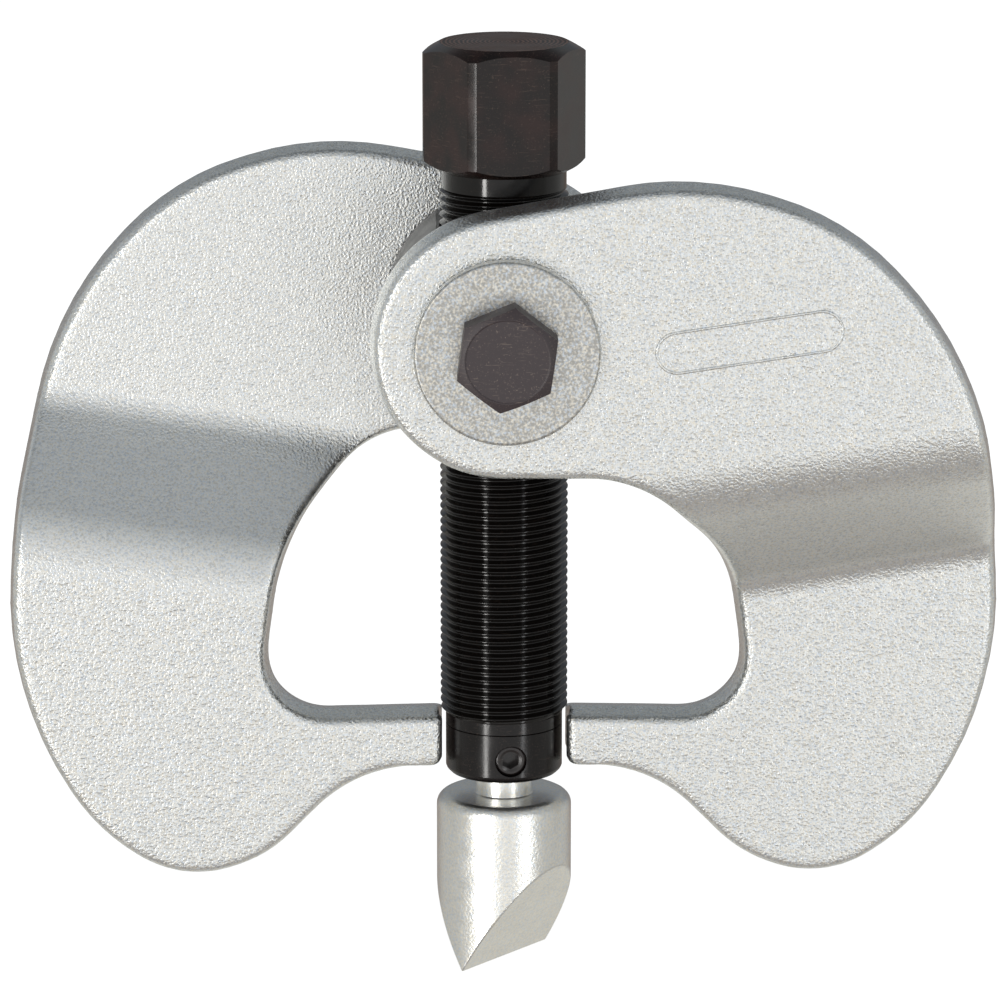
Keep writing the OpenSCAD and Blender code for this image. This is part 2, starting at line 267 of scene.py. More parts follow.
def hexagon(bm, across_flats, turn):
    """Cuts a turned blank about Z to a hexagon with one corner at the turn."""
    for side in range(6):
        facing = Matrix.Rotation(turn + math.radians(30 + 60 * side), 3, "Z") @ Vector((1, 0, 0))
        trim(bm, facing * across_flats / 2, facing)


def chamfer_ball(face_r, across_flats, height, slope=math.radians(30)):
    """Radius and middle of the ball that rounds a hexagon's corners down to a flat disc."""
    radius = across_flats / 2 / math.sin(slope)
    return radius, height - math.sqrt(radius ** 2 - face_r ** 2)


def dome(face_r, across_flats, height, steps=6):
    """Half profile of a hexagon's chamfer that ends in a flat disc, from its outside in."""
    radius, middle = chamfer_ball(face_r, across_flats, height)
    outer = math.asin(min(1, across_flats / math.sqrt(3) / radius))
    inner = math.asin(face_r / radius)
    tilts = [outer + (inner - outer) * k / steps for k in range(steps + 1)]
    return [(radius * math.sin(tilt), middle + radius * math.cos(tilt)) for tilt in tilts]


def modified(piece):
    """Puts the result of a piece's modifiers into its mesh and removes them."""
    graph = bpy.context.evaluated_depsgraph_get()
    old = piece.data
    piece.data = bpy.data.meshes.new_from_object(piece.evaluated_get(graph))
    piece.modifiers.clear()
    bpy.data.meshes.remove(old)
    return piece


def combine(piece, other, operation):
    """Cuts another object out of a piece, or adds it, and removes the other object."""
    step = piece.modifiers.new("combine", "BOOLEAN")
    step.operation = operation
    step.solver = "EXACT"
    step.object = other
    modified(piece)
    bpy.data.objects.remove(other)
    return piece


def crisp(piece, sharp=30, width=0.0, segments=2):
    """Shades a piece smooth between its crisp edges, which get a narrow bevel first."""
    if width:
        bevel = piece.modifiers.new("edge break", "BEVEL")
        bevel.width = width
        bevel.segments = segments
        bevel.limit_method = "ANGLE"
        bevel.angle_limit = math.radians(sharp)
        bevel.use_clamp_overlap = True
        modified(piece)
    piece.data.shade_smooth()
    piece.data.set_sharp_from_angle(angle=math.radians(sharp))
    flat = piece.modifiers.new("flat faces", "WEIGHTED_NORMAL")
    flat.keep_sharp = True
    return piece


def coat(piece, *materials):
    """Gives a piece its materials in place of those that joining and cutting left on it."""
    piece.data.materials.clear()
    for material in materials:
        piece.data.materials.append(material)


def place(piece, body, slot, *nodes):
    """Joins a finished piece to its body and hides the nodes that it stands for. The slot is not used."""
    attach(piece, body)
    if nodes:
        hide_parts(*nodes)


def along_pivot(bm, rear=False):
    """Turns a lathed bmesh from the Z axis to the pivot axis, pointing to the front or the rear."""
    turn = Matrix.Rotation(math.radians(90), 3, "X")
    if rear:
        turn = Matrix.Rotation(math.pi, 3, "Z") @ turn
    bmesh.ops.rotate(bm, verts=bm.verts, cent=(0, 0, 0), matrix=turn)
    return bm


# ---------------------------------------------------------------- materials

MIX_FACTOR, MIX_A, MIX_B, MIX_RESULT = 0, 6, 7, 2   # sockets of a Mix node that mixes colours


def add(tree, kind, inputs=None, **settings):
    """Adds a node. An input is a value, or another node's output to link."""
    node = tree.nodes.new(kind)
    for name, value in settings.items():
        setattr(node, name, value)
    for socket, value in (inputs or {}).items():
        if isinstance(value, bpy.types.NodeSocket):
            tree.links.new(value, node.inputs[socket])
        else:
            node.inputs[socket].default_value = value
    return node


def new_material(name):
    """An empty node material, its tree and its object coordinates."""
    material = bpy.data.materials.new(name)
    material.use_nodes = True
    tree = material.node_tree
    tree.nodes.clear()
    return material, tree, add(tree, "ShaderNodeTexCoord").outputs["Object"]


def zinc_plate(name, base, cool, warm, grain_mm, grain_depth_mm, wave_mm, wave_depth_mm, roughness, pit_darkening):
    """Bright zinc with a blue passivation: a grain that tilts the skin, and faint blue and yellow tints."""
    material, tree, spot = new_material(name)
    grain, wave, tint = (
        add(tree, "ShaderNodeTexNoise",
            {"Vector": spot, "Scale": 1 / (size_mm * MM), "Detail": detail, "Roughness": 0.5})
        for size_mm, detail in ((grain_mm, 1.5), (wave_mm, 2.0), (0.8 * grain_mm, 1.0)))
    tints = add(tree, "ShaderNodeSeparateColor", {"Color": tint.outputs["Color"]})
    tinted = base
    for channel, shade in (("Red", cool), ("Green", warm)):
        share = add(tree, "ShaderNodeMapRange",
                    {"Value": tints.outputs[channel], "From Min": 0.45, "From Max": 0.75})
        tinted = add(tree, "ShaderNodeMix",
                     {MIX_FACTOR: share.outputs["Result"], MIX_A: tinted, MIX_B: shade},
                     data_type="RGBA").outputs[MIX_RESULT]
    # The skin is darker in the pits between the grains, where the grain is low.
    pits = add(tree, "ShaderNodeMapRange", {"Value": grain.outputs["Fac"], "From Min": 0.32, "From Max": 0.52,
                                            "To Min": 1 - pit_darkening, "To Max": 1.0})
    pitted = add(tree, "ShaderNodeMix", {MIX_FACTOR: 1.0, MIX_A: tinted, MIX_B: pits.outputs["Result"]},
                 data_type="RGBA", blend_type="MULTIPLY")
    # Where the skin is rubbed, on the slope of a joggle, its grain is shallow.
    rubbed = add(tree, "ShaderNodeAttribute", attribute_name="rubbed").outputs["Fac"]
    depth = add(tree, "ShaderNodeMapRange", {"Value": rubbed, "To Min": 1.0, "To Max": 0.25})
    dull = add(tree, "ShaderNodeMapRange", {"Value": wave.outputs["Fac"], "From Min": 0.3, "From Max": 0.7,
                                            "To Min": roughness - 0.04, "To Max": roughness + 0.04})
    waves = add(tree, "ShaderNodeBump", {"Height": wave.outputs["Fac"], "Strength": 1.0,
                                         "Distance": wave_depth_mm * MM})
    dents = add(tree, "ShaderNodeBump", {"Height": grain.outputs["Fac"], "Strength": depth.outputs["Result"],
                                         "Distance": grain_depth_mm * MM, "Normal": waves.outputs["Normal"]})
    skin = add(tree, "ShaderNodeBsdfPrincipled",
               {"Base Color": pitted.outputs[MIX_RESULT], "Metallic": 1.0,
                "Roughness": dull.outputs["Result"], "Normal": dents.outputs["Normal"]})
    add(tree, "ShaderNodeOutputMaterial", {"Surface": skin.outputs["BSDF"]})
    return material


def black_steel(name, base, worn, roughness, worn_share, speck_mm, ior=1.55, brown=None, marks_mm=0):
    """Steel with a thin black conversion coat, oiled: dark, in brown clouds, with rubbed specks."""
    cloud_mm, scratch_mm, speck_depth_mm = 6, 3, 0.006
    material, tree, spot = new_material(name)
    specks = add(tree, "ShaderNodeTexNoise",
                 {"Vector": spot, "Scale": 1 / (speck_mm * MM), "Detail": 3.0, "Roughness": 0.65})
    cloud = add(tree, "ShaderNodeTexNoise", {"Vector": spot, "Scale": 1 / (cloud_mm * MM), "Detail": 2.0})
    stretched = add(tree, "ShaderNodeMapping",
                    {"Vector": spot, "Scale": (1, 1, 12), "Rotation": (0.3, 0.2, 0)})
    scratch = add(tree, "ShaderNodeTexNoise",
                  {"Vector": stretched.outputs["Vector"], "Scale": 1 / (scratch_mm * MM), "Detail": 2.0})
    thin = add(tree, "ShaderNodeMapRange", {"Value": specks.outputs["Fac"], "From Min": 0.60,
                                            "From Max": 0.74, "To Max": worn_share})
    rubbed = add(tree, "ShaderNodeMapRange", {"Value": scratch.outputs["Fac"], "From Min": 0.64,
                                              "From Max": 0.72, "To Max": worn_share * 0.5})
    wear = add(tree, "ShaderNodeMath", {0: thin.outputs["Result"], 1: rubbed.outputs["Result"]},
               operation="MAXIMUM")
    browned = add(tree, "ShaderNodeMapRange",
                  {"Value": cloud.outputs["Fac"], "From Min": 0.4, "From Max": 0.62})
    clouded = add(tree, "ShaderNodeMix", {MIX_FACTOR: browned.outputs["Result"], MIX_A: base,
                                          MIX_B: brown or base}, data_type="RGBA")
    coated = add(tree, "ShaderNodeMix", {MIX_FACTOR: wear.outputs[0], MIX_A: clouded.outputs[MIX_RESULT],
                                         MIX_B: worn}, data_type="RGBA")
    if marks_mm:
        # A wave's rings are tau / 20 of its coordinates apart. The real marks are finer than can be seen.
        rings = add(tree, "ShaderNodeTexWave", {"Vector": spot, "Scale": math.tau / (20 * marks_mm * MM),
                                                "Distortion": 3.0, "Detail": 2.0, "Detail Scale": 1.5},
                    wave_type="RINGS", rings_direction="Z")
        ridge = add(tree, "ShaderNodeMapRange", {"Value": rings.outputs["Fac"], "From Min": 0.3,
                                                 "From Max": 1.0, "To Max": 0.6})
        coated = add(tree, "ShaderNodeMix", {MIX_FACTOR: ridge.outputs["Result"],
                                             MIX_A: coated.outputs[MIX_RESULT], MIX_B: worn},
                     data_type="RGBA")
    dull = add(tree, "ShaderNodeMapRange", {"Value": cloud.outputs["Fac"], "From Min": 0.3, "From Max": 0.7,
                                            "To Min": roughness - 0.05, "To Max": roughness + 0.06})
    bump = add(tree, "ShaderNodeBump", {"Height": specks.outputs["Fac"], "Strength": 1.0,
                                        "Distance": speck_depth_mm * MM})
    skin = add(tree, "ShaderNodeBsdfPrincipled",
               {"Base Color": coated.outputs[MIX_RESULT], "Metallic": 0.0, "IOR": ior,
                "Roughness": dull.outputs["Result"], "Normal": bump.outputs["Normal"]})
    add(tree, "ShaderNodeOutputMaterial", {"Surface": skin.outputs["BSDF"]})
    return material


def ground_steel(base):
    """Hardened bearing steel, ground and lapped: nearly a mirror, with a faint haze."""
    material, tree, spot = new_material("bearing_steel_lapped")
    haze = add(tree, "ShaderNodeTexNoise", {"Vector": spot, "Scale": 1 / (0.8 * MM), "Detail": 2.0})
    dull = add(tree, "ShaderNodeMapRange", {"Value": haze.outputs["Fac"], "To Min": 0.08, "To Max": 0.16})
    skin = add(tree, "ShaderNodeBsdfPrincipled",
               {"Base Color": base, "Metallic": 1.0, "Roughness": dull.outputs["Result"]})
    add(tree, "ShaderNodeOutputMaterial", {"Surface": skin.outputs["BSDF"]})
    return material


def studio_floor(base):
    """A pale, evenly lit paper floor."""
    material, tree, spot = new_material("studio_paper_floor")
    fibre = add(tree, "ShaderNodeTexNoise", {"Vector": spot, "Scale": 1 / (2 * MM), "Detail": 2.0})
    dull = add(tree, "ShaderNodeMapRange", {"Value": fibre.outputs["Fac"], "To Min": 0.85, "To Max": 0.95})
    skin = add(tree, "ShaderNodeBsdfPrincipled",
               {"Base Color": base, "Roughness": dull.outputs["Result"], "Emission Color": (1, 1, 1, 1),
                "Emission Strength": 0.75})
    add(tree, "ShaderNodeOutputMaterial", {"Surface": skin.outputs["BSDF"]})
    return material


# ---------------------------------------------------------------- jaws

def rounded(corners, facet=math.radians(5)):
    """Points of a closed outline of corners (x, z, radius), with an arc at each corner."""
    spots = [Vector(corner[:2]) for corner in corners]
    count = len(corners)

    def half_angle(i):
        """Half the angle between the two edges at a corner."""
        return (spots[i - 1] - spots[i]).angle(spots[(i + 1) % count] - spots[i]) / 2

    cut_back = [corner[2] / math.tan(half_angle(i)) for i, corner in enumerate(corners)]

    def share(i, j):
        """The share of its radius that a corner keeps where two arcs need more than their edge."""
        return min(1, (spots[i] - spots[j]).length / (cut_back[i] + cut_back[j] + WELD))

    points = []
    for i, corner in enumerate(corners):
        j = (i + 1) % count
        if not corner[2]:
            points.append(spots[i])
            continue
        radius = corner[2] * min(share(i, i - 1), share(i, j))
        back = (spots[i - 1] - spots[i]).normalized()
        ahead = (spots[j] - spots[i]).normalized()
        turn = math.pi - 2 * half_angle(i)
        centre = spots[i] + (back + ahead).normalized() * radius / math.cos(turn / 2)
        start = spots[i] + back * radius * math.tan(turn / 2) - centre
        way = -1 if back.cross(ahead) > 0 else 1
        steps = max(1, math.ceil(turn / facet))
        points += [centre + Matrix.Rotation(way * turn * k / steps, 2) @ start for k in range(steps + 1)]
    return points


def jaw_corners(s):
    """Corners of the right-hand jaw: round its eye, over its back and belly to its tip and throat."""
    eye_rise = math.radians(10)
    facets = 48
    eye = []
    for k in range(facets + 1):
        around = math.radians(270) - k * (math.pi - eye_rise) / facets
        eye.append((s.eye_r * math.cos(around), s.eye_r * math.sin(around), 0))
    tip_low = s.tip_drop + s.tip_h
    back = [
        (34.5 * MM, s.crest + 1.6 * MM, 57 * MM),
        (s.reach - 30.6 * MM, s.crest - 6.7 * MM, 50 * MM),
        (s.reach - 7.6 * MM, -1 * MM, 66 * MM),
        (s.reach - 0.9 * MM, -34 * MM, 62 * MM),
        (s.reach + 1.8 * MM, -71 * MM, 68 * MM),
    ]
    belly = [
        (s.belly_x + 18.5 * MM, -s.belly + 8 * MM, 39 * MM),
        (s.belly_x + 1.7 * MM, -s.belly - 2.6 * MM, 21 * MM),
        (s.belly_x - 14.7 * MM, -s.belly + 3 * MM, 26 * MM),
        (s.tip_x + 15.4 * MM, -tip_low + 1.3 * MM, 26 * MM),
    ]
    tip = [
        (s.tip_x, -tip_low, 3 * MM),
        (s.tip_x, -s.tip_drop, 0),
    ]
    throat = [
        (s.throat_w, -s.tip_drop - 0.6 * MM, 11 * MM),
        (s.throat_w, -s.tip_drop + 12.4 * MM, 23 * MM),
        (s.throat_w - 2.6 * MM, -43.3 * MM, 31 * MM),
        (s.throat_w - 19.9 * MM, -s.eye_r, 22 * MM),
    ]
    return eye + back + belly + tip + throat


def joggle_side(s, down, upper_r, lower_r):
    """How far one side of the plate has moved to the middle plane, at a depth below its upper bend."""
    full = -JAW_LOW.y - s.thickness / 2
    run = (s.joggle_end - s.joggle_top) * math.cos(s.joggle_slope)
    tilt = math.atan2(full, run)
    upper_cut = upper_r * math.tan(tilt / 2)
    lower_cut = lower_r * math.tan(tilt / 2)
    if down <= -upper_cut:
        return 0
    if down >= run + lower_cut:
        return full
    if down < upper_cut * math.cos(tilt):
        return upper_r - math.sqrt(upper_r ** 2 - (down + upper_cut) ** 2)
    if down > run - lower_cut * math.cos(tilt):
        return full - lower_r + math.sqrt(lower_r ** 2 - (run + lower_cut - down) ** 2)
    return down * math.tan(tilt)


def joggle_shift(s, spot):
    """How far the joggle moves a point of the flat plate towards the middle plane."""
    slope = s.joggle_slope
    down = spot.x * math.sin(slope) - (spot.z + s.joggle_top) * math.cos(slope)
    outer = joggle_side(s, down, s.bend_out_r, s.bend_in_r)
    inner = joggle_side(s, down + s.joggle_lift, s.bend_in_r, s.bend_out_r)
    share = 0.5 + spot.y / s.thickness
    return outer + (inner - outer) * share


def drill(name, radius, low, high, turn=Matrix.Identity(3)):
    """A round cutter from one height to another along Z, then turned."""
    bm = lathe([(0, low), (radius, low), (radius, high), (0, high)], steps=72)
    bmesh.ops.rotate(bm, verts=bm.verts, cent=(0, 0, 0), matrix=turn)
    return finished(bm, name, sharp=0)


def jaw_blank(s):
    """The flat forging before its joggle, on its middle plane, as an even grid of small faces."""
    half = s.thickness / 2
    bm = bmesh.new()
    face = bm.faces.new([bm.verts.new((x, 0, z)) for x, z in rounded(jaw_corners(s))])
    bm.normal_update()
    if face.normal.y > 0:
        bmesh.ops.reverse_faces(bm, faces=[face])
    bmesh.ops.inset_region(bm, faces=[face], thickness=s.draft, depth=half, use_even_offset=True,
                           use_boundary=True)
    bmesh.ops.mirror(bm, geom=bm.verts[:] + bm.edges[:] + bm.faces[:], axis="Y", merge_dist=WELD)
    bmesh.ops.remove_doubles(bm, verts=bm.verts, dist=WELD)
    bmesh.ops.recalc_face_normals(bm, faces=bm.faces)
    rim = [e for e in bm.edges if all(abs(abs(v.co.y) - half) < WELD * 10 for v in e.verts)]
    bmesh.ops.bevel(bm, geom=rim, offset=s.edge_r, offset_type="OFFSET", affect="EDGES", segments=4,
                    profile=0.5, material=-1)
    blank = finished(bm, "jaw_blank", sharp=0)
    upright = Matrix.Rotation(math.radians(90), 3, "X")
    combine(blank, drill("bore", s.bore_r, -s.thickness, s.thickness, upright), "DIFFERENCE")
    hollow_low = -s.tip_drop - s.tip_h - s.edge_r
    combine(blank, drill("hollow", s.tip_hollow_r, hollow_low, -s.tip_drop + s.edge_r), "DIFFERENCE")
    skin = blank.modifiers.new("even grid", "REMESH")
    skin.mode = "VOXEL"
    skin.voxel_size = s.grid
    return modified(blank)


def smooth_step(value, low, high):
    """0 below low, 1 above high, and a soft rise between them."""
    share = min(1, max(0, (value - low) / (high - low)))
    return share * share * (3 - 2 * share)


def panel_rim(s):
    """The half-round rim of the blank oval panel, standing on the jaw's outer face."""
    end = s.panel_h / 2
    reach = s.panel_l / 2 - end
    bm = bmesh.new()
    oval = []
    steps = 16
    for side in (0, math.pi):
        for k in range(steps + 1):
            around = side - math.pi / 2 + math.pi * k / steps
            across = math.cos(side) * reach + end * math.cos(around)
            oval.append(bm.verts.new((across, 0, end * math.sin(around))))
    face = bm.faces.new(oval)
    bm.normal_update()
    if face.normal.y > 0:
        bmesh.ops.reverse_faces(bm, faces=[face])
    grown = bmesh.ops.extrude_face_region(bm, geom=[face], use_keep_orig=True)
    bmesh.ops.translate(bm, verts=[v for v in grown["geom"] if isinstance(v, bmesh.types.BMVert)],
                        vec=(0, -s.panel_rim / 2, 0))
    top = [f for f in grown["geom"] if isinstance(f, bmesh.types.BMFace)]
    sunk = s.panel_rim / 4
    for lift in (0.35, 0.1, -0.1, -0.35):
        bmesh.ops.inset_region(bm, faces=top, thickness=s.panel_rim / 4, depth=s.panel_rim * lift,
                               use_even_offset=True)
    bmesh.ops.recalc_face_normals(bm, faces=bm.faces)
    bmesh.ops.rotate(bm, verts=bm.verts, cent=(0, 0, 0), matrix=Matrix.Rotation(-s.joggle_slope, 3, "Y"))
    bmesh.ops.translate(bm, verts=bm.verts,
                        vec=(s.panel_x, JAW_LOW.y + s.panel_rim / 2 + sunk, s.panel_z))
    return finished(bm, "panel_rim", sharp=0)


def forged(blank, s, name, material, seed, rear):
    """A jaw from the blank: joggled, made uneven as a forging is, and turned to its side."""
    middle = JAW_LOW.y + s.thickness / 2
    bm = bmesh.new()
    bm.from_mesh(blank.data)
    rubbed = bm.verts.layers.float.new("rubbed")
    for _ in range(2):
        bmesh.ops.smooth_vert(bm, verts=bm.verts, factor=0.5, use_axis_x=True, use_axis_y=True,
                              use_axis_z=True)
    bm.normal_update()
    for vertex in bm.verts:
        spot = vertex.co
        uneven = 0.7 * noise.noise(spot / (9 * MM) + seed) + 0.3 * noise.noise(spot / (2.5 * MM) + seed)
        push = vertex.normal * -s.swell * (0.5 + 0.5 * uneven)
        shift = joggle_shift(s, spot)
        vertex[rubbed] = smooth_step(shift, 2 * MM, 7 * MM) * smooth_step(-middle - shift, 0, 2 * MM)
        vertex.co = spot + push + Vector((0, middle + shift, 0))
    rim = panel_rim(s)
    bm.from_mesh(rim.data)
    bpy.data.objects.remove(rim)
    if rear:
        bmesh.ops.rotate(bm, verts=bm.verts, cent=(0, 0, 0), matrix=Matrix.Rotation(math.pi, 3, "Z"))
    return finished(bm, name, material, sharp=0)


class SEPARATOR_OT_jaws(bpy.types.Operator):
    """Adds the two jaw forgings"""
    bl_idname = "separator.jaws"
    bl_label = "Add Jaws"

    def execute(self, context):
        sizes = context.scene.separator_jaw
        finishes = context.scene.separator_finishes
        # Drop-forged steel, shot-blasted and zinc plated: a sparkling grain of dents in a bright skin.
        zinc = zinc_plate("zinc_plated_shot_blasted_forging", finishes.zinc, finishes.zinc_cool,
                          finishes.zinc_warm, grain_mm=0.48, grain_depth_mm=0.19, wave_mm=2.2,
                          wave_depth_mm=0.05, roughness=0.30, pit_darkening=0.2)
        blank = jaw_blank(sizes)
        sides = (("front_jaw", Vector((0, 0, 0)), False), ("rear_jaw", Vector((7, 3, 5)), True))
        for node, seed, rear in sides:
            jaw = forged(blank, sizes, node + "_forging", zinc, seed, rear)
            place(jaw, node, "zinc_plated_forging", node)
        bpy.data.objects.remove(blank)
        return {"FINISHED"}


# ---------------------------------------------------------------- spindle and set screw

def threaded_rod(s, steps=48):
    """A rod with a right-hand thread whose crests and roots are rounded, chamfered at both ends."""
    flank = math.radians(60)
    root_r = s.thread_r - THREAD_DEPTH * s.pitch
    crest_round, root_round = 0.13 * MM, 0.2 * MM
    wave = []
    for k in range(5):
        lean = flank * (k / 2 - 1)
        wave.append((crest_round * math.sin(lean), s.thread_r - crest_round * (1 - math.cos(lean))))
    for k in range(3):
        lean = flank * (k - 1)
        wave.append((s.pitch / 2 + root_round * math.sin(lean), root_r + root_round * (1 - math.cos(lean))))
    turns = math.ceil((s.thread_top + s.thread_end) / s.pitch) + 3
    start = -s.thread_end - 2 * s.pitch
    bm = bmesh.new()
    points = []
    for turn in range(turns):
        points += [bm.verts.new((radius, 0, start + turn * s.pitch + along)) for along, radius in wave]
    edges = [bm.edges.new(pair) for pair in zip(points, points[1:])]
    bmesh.ops.spin(bm, geom=points + edges, cent=(0, 0, 0), axis=(0, 0, 1), dvec=(0, 0, s.pitch / steps),
                   angle=math.tau, steps=steps, use_merge=False)
    bmesh.ops.remove_doubles(bm, verts=bm.verts, dist=10 * WELD)
    inside, run_out = 0.3 * MM, 0.1 * MM
    trim(bm, (0, 0, s.thread_top + inside), (0, 0, 1))
    trim(bm, (0, 0, -s.thread_end - inside), (0, 0, -1))
    for vertex in bm.verts:
        radius = math.hypot(vertex.co.x, vertex.co.y)
        above = vertex.co.z + s.thread_end
        below = s.thread_top - vertex.co.z
        limit = min(s.collar_r + above if above > 0 else s.collar_r - run_out,
                    s.relief_r + below if below > 0 else s.relief_r - run_out)
        if radius > limit:
            vertex.co.x *= limit / radius
            vertex.co.y *= limit / radius
    bmesh.ops.recalc_face_normals(bm, faces=bm.faces)
    return finished(bm, "threaded_rod", sharp=0)


def hex_head(s):
    """The hex head with its turned corners, on the plain relief above the thread."""
    head_z = s.thread_top + s.relief_l
    top = SPINDLE_HIGH.z
    neck_r = s.collar_r - JOIN_SINK
    neck_z = s.thread_top - JOIN_DEPTH
    ball_r, middle = chamfer_ball(s.head_face_r, s.head_af, top)
    rim = [(s.head_r, middle + math.sqrt(ball_r ** 2 - s.head_r ** 2))]
    rim += [(radius, z) for radius, z in dome(s.head_face_r, s.head_af, top) if radius < s.head_r]
    lower = [(radius, head_z + top - z) for radius, z in reversed(rim)]
    foot = [(0, neck_z), (neck_r, neck_z), (neck_r, s.thread_top), (s.relief_r, s.thread_top),
            (s.relief_r, head_z)]
    bm = lathe(foot + lower + rim + [(0, top)])
    hexagon(bm, s.head_af, math.radians(-90) - s.head_turn)
    return finished(bm, "hex_head")


def plain_end(s):
    """The turned plain end below the thread, with its marking groove and chamfer."""
    foot = SPINDLE_LOW.z
    neck_r = s.collar_r - JOIN_SINK
    neck_z = JOIN_DEPTH - s.thread_end
    groove_z = -s.thread_end - s.groove_drop
    profile = [
        (0, neck_z), (neck_r, neck_z), (neck_r, -s.thread_end), (s.collar_r, -s.thread_end),
        (s.collar_r, groove_z), (s.collar_r - s.groove_w, groove_z - s.groove_w / 2),
        (s.collar_r, groove_z - s.groove_w),
    ]
    for inward, up in ((0, 1.15), (0.18, 0.72), (0.72, 0.18), (1.15, 0)):
        profile.append((s.collar_r - s.collar_chamfer * inward, foot + s.collar_chamfer * up))
    return finished(lathe(profile + [(0, foot)]), "plain_end")


def screw_place(s):
    """Where the set screw stands: the transform from the Z axis to its own axis."""
    turn = Matrix.Rotation(s.screw_turn, 3, "Z") @ Matrix.Rotation(math.radians(90), 3, "X")
    return Matrix.Translation((0, 0, SPINDLE_LOW.z + s.screw_rise)) @ turn.to_4x4()


class SEPARATOR_OT_spindle(bpy.types.Operator):
    """Adds the spindle with its hex head, thread and plain end"""
    bl_idname = "separator.spindle"
    bl_label = "Add Spindle"

    def execute(self, context):
        s = context.scene.separator_spindle
        finishes = context.scene.separator_finishes
        # Turned and milled steel, black oxide finished and oiled: satin brown-black with light scratches.
        satin = black_steel("black_oxide_turned_steel", finishes.oxide, finishes.oxide_worn, roughness=0.20,
                            worn_share=0.6, speck_mm=0.35, ior=1.4, brown=finishes.oxide_brown)
        # The rolled thread keeps more oil and is glossier. The plain relief under the head gets it too: there
        # its near-black is painted shade under the head.
        glossy = black_steel("black_oxide_oiled_thread_and_painted_shade", finishes.oxide_oiled_and_painted_shade, finishes.oxide_worn,
                             roughness=0.13, worn_share=0.15, speck_mm=0.5, ior=1.42)
        # The faced end of the head is duller and browner, with rings left by the tool.
        faced = black_steel("black_oxide_faced_end", finishes.oxide, finishes.oxide_ridge, roughness=0.45,
                            worn_share=0.5, speck_mm=0.3, ior=1.33, brown=finishes.oxide_brown,
                            marks_mm=0.8)
        # The plain end is finely turned, so the lights show on it as narrow streaks. Its oxide is painted
        # darker than the head's: painted shade for the dim surroundings that its round sides reflect.
        plain = black_steel("black_oxide_plain_end_with_painted_shade", finishes.oxide_plain_with_painted_shade, finishes.oxide_worn,
                            roughness=0.19, worn_share=0.4, speck_mm=0.3, ior=1.38)
        spindle = combine(threaded_rod(s), hex_head(s), "UNION")
        combine(spindle, plain_end(s), "UNION")
        combine(spindle, drill("bore", s.bore_r, SPINDLE_LOW.z - MM, -s.bore_top), "DIFFERENCE")
        hole = drill("screw_hole", s.screw_r, 0, s.collar_r + MM)
        hole.data.transform(screw_place(s))
        combine(spindle, hole, "DIFFERENCE")
        spindle.name = "spindle_body"
        coat(spindle, satin, glossy, faced, plain)
        crisp(spindle, sharp=14)
        mesh = spindle.data
        bm = bmesh.new()
        bm.from_mesh(mesh)
        for face in bm.faces:
            centre = face.calc_center_median()
            # The thread's near-black oxide reaches up over the plain relief under the head, as painted shade
            # under the head.
            if -s.thread_end < centre.z < s.thread_top + s.relief_l and centre.xy.length > s.bore_r + MM:
                face.material_index = 1     # glossy thread, and the relief under the head as painted shade
            elif centre.z > SPINDLE_HIGH.z - 0.01 * MM:
                face.material_index = 2     # faced end
            else:
                # Below the pivot axis: the plain end's darker oxide, which carries painted shade.
                face.material_index = 3 if centre.z < 0 else 0
        for edge in bm.edges:
            if all(-s.thread_end < v.co.z < s.thread_top for v in edge.verts):
                edge.smooth = True
        bm.to_mesh(mesh)
        bm.free()
        place(spindle, "spindle", "black_oxide_steel", "spindle")
        return {"FINISHED"}


class SEPARATOR_OT_set_screw(bpy.types.Operator):
    """Adds the set screw that holds the wedge's shank"""
    bl_idname = "separator.set_screw"
    bl_label = "Add Set Screw"

    def execute(self, context):
        s = context.scene.separator_spindle
        finishes = context.scene.separator_finishes
        # Alloy steel with a formed hex socket, black oxide finished: a soft dark shine, a little worn.
        black = black_steel("black_oxide_set_screw", finishes.oxide, finishes.oxide_worn, roughness=0.26,
                            worn_share=0.5, speck_mm=0.3)
        face = s.collar_r - s.screw_sink
        body = s.bore_r + 0.1 * MM
        edge_break = 0.45 * MM
        dog_r, dog_end = 2 * MM, 4.45 * MM
        outer = s.screw_r - 0.02 * MM
        dish_r, dish = 2.15 * MM, 0.2 * MM
        screw = finished(lathe([
            (0, dog_end), (dog_r, dog_end), (dog_r, body), (outer, body), (outer, face - edge_break),
            (outer - edge_break * 0.3, face - edge_break * 0.3), (outer - edge_break, face),
            (dish_r, face), (dish_r - 0.5 * MM, face - dish), (0, face - dish),
        ], steps=64), "set_screw_body")
        socket = bmesh.new()
        depth, corner_r = 2.2 * MM, s.socket_af / math.sqrt(3)
        bmesh.ops.create_cone(socket, cap_ends=True, segments=6, radius1=corner_r, radius2=corner_r,
                              depth=2 * depth)
        bmesh.ops.translate(socket, verts=socket.verts, vec=(0, 0, face))
        combine(screw, finished(socket, "socket"), "DIFFERENCE")
        screw.data.transform(screw_place(s))
        coat(screw, black)
        crisp(screw, sharp=18)
        place(screw, "spindle", "black_oxide_steel", "set_screw")
        return {"FINISHED"}


# ---------------------------------------------------------------- wedge and thrust ball

